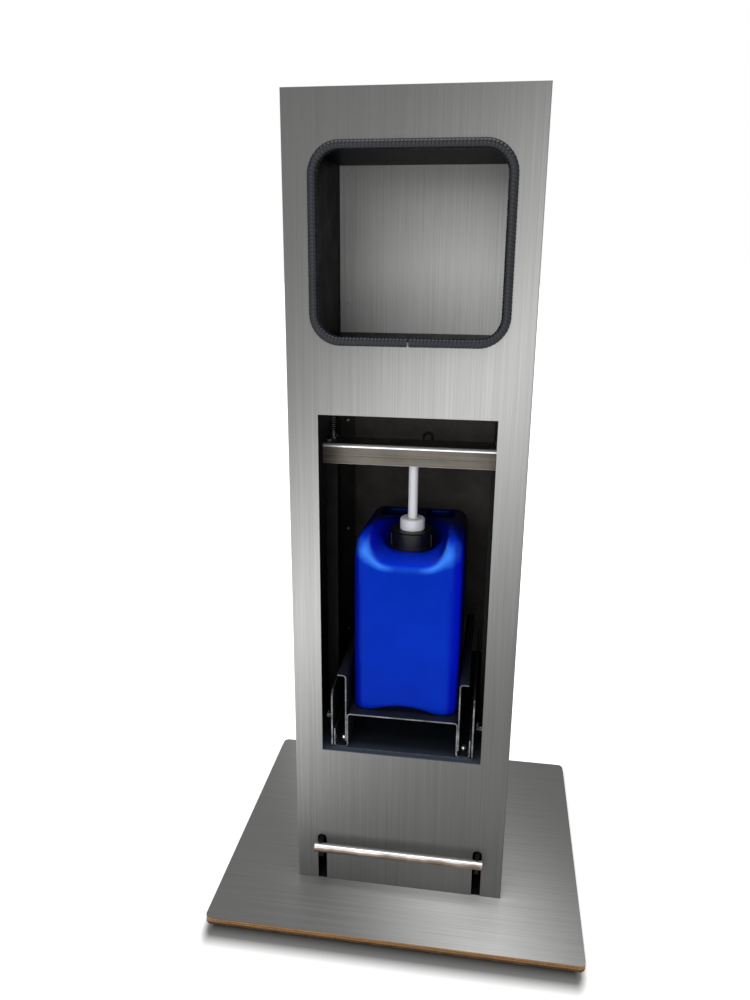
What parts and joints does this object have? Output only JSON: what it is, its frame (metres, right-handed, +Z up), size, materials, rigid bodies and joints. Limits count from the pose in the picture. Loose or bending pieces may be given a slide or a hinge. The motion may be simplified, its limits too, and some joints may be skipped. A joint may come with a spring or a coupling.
{
  "type": "foot-operated sanitizer dispenser stand",
  "caption": "Brushed-steel pedestal with a hand window over a bottle bay, where a foot bar pulls a presser down on a jerrican pump.",
  "frame": {"origin": "on the floor under the middle of the base board", "axes": "+X to the right of a person facing the window, +Y to the back, +Z up"},
  "size_m": [0.49, 0.412, 1.012],
  "materials": {
    "plywood": "raw cut edge",
    "brushed_sheet": "brushed",
    "black_gloss": "gloss black",
    "black_steel": "satin black",
    "zinc": "bright zinc plate",
    "bright_steel": "bright drawn",
    "trim_plastic": "ribbed, semi-gloss black",
    "blue_plastic": "satin blow-moulded",
    "black_plastic": "semi-matte",
    "white_plastic": "satin white",
    "hose_plastic": "milky flexible",
    "rubber": "matt black"
  },
  "bodies": {
    "stand": {"base_board": "plywood", "base_skin": "brushed_sheet", "base_angles": "black_steel", "base_screws": "zinc", "front_panel": "brushed_sheet", "left_side_panel": "brushed_sheet", "right_side_panel": "brushed_sheet", "rear_panel": "brushed_sheet", "rear_screws": "zinc", "rear_plug": "rubber", "top_cap": "brushed_sheet", "hand_shelf": "black_gloss", "hand_ceiling": "black_gloss", "hand_back": "brushed_sheet", "bay_floor": "black_gloss", "window_trim": "trim_plastic", "cradle_base": "black_steel", "tray_stand": "black_steel", "left_cheek": "black_steel", "right_cheek": "black_steel", "cradle_screws": "zinc", "cradle_nuts": "zinc", "jerrican": "blue_plastic", "screw_cap": "black_plastic", "pump_collar": "white_plastic", "pump_barrel": "white_plastic", "pump_spring": "bright_steel", "inlet_ball": "bright_steel", "dip_tube": "white_plastic", "leg_guides": "white_plastic", "spring_hangers": "zinc", "left_return_spring": "bright_steel", "right_return_spring": "bright_steel", "pivot_axle": "bright_steel", "pivot_brackets": "black_steel", "axle_washers": "zinc", "axle_nuts": "zinc", "arm_stops": "rubber", "hose_flex": "hose_plastic", "hose_riser": "hose_plastic", "hose_grommets": "rubber", "nozzle": "white_plastic", "nozzle_nut": "white_plastic"},
    "pedal": {"foot_bar": "bright_steel", "left_arm": "black_steel", "right_arm": "black_steel", "arm_bushes": "white_plastic"},
    "presser": {"presser": "bright_steel", "left_leg": "black_steel", "right_leg": "black_steel", "leg_bolts": "zinc", "leg_nuts": "zinc", "left_clevis": "black_steel", "right_clevis": "black_steel", "clevis_pins": "zinc", "spring_plugs": "zinc"},
    "pump": {"pump_stem": "white_plastic", "pump_piston": "white_plastic", "pump_head": "white_plastic"}
  },
  "joints": [
    {"name": "pedal_press", "type": "hinge", "parent": "stand", "child": "pedal", "pos_m": [0, 0.17, 0.04901], "axis": [1, 0, 0], "range_deg": [0, 6.54], "stiffness_Nm_per_rad": 90, "springref_deg": -2.35},
    {"name": "presser_slide", "type": "slide", "parent": "stand", "child": "presser", "axis": [0, 0, -1], "range_m": [0, 0.0223], "stiffness_N_per_m": 2400, "springref_m": -0.008, "deforming": ["left_return_spring", "right_return_spring"]},
    {"name": "pump_stroke", "type": "slide", "parent": "stand", "child": "pump", "axis": [0, 0, -1], "range_m": [0, 0.0223], "stiffness_N_per_m": 600, "springref_m": -0.01, "deforming": ["pump_spring", "hose_flex"]}
  ],
  "couplings": [
    {"joint": "presser_slide", "follows": "pedal_press", "m_per_rad": 0.19505},
    {"joint": "pump_stroke", "follows": "pedal_press", "m_per_rad": 0.19505}
  ]
}
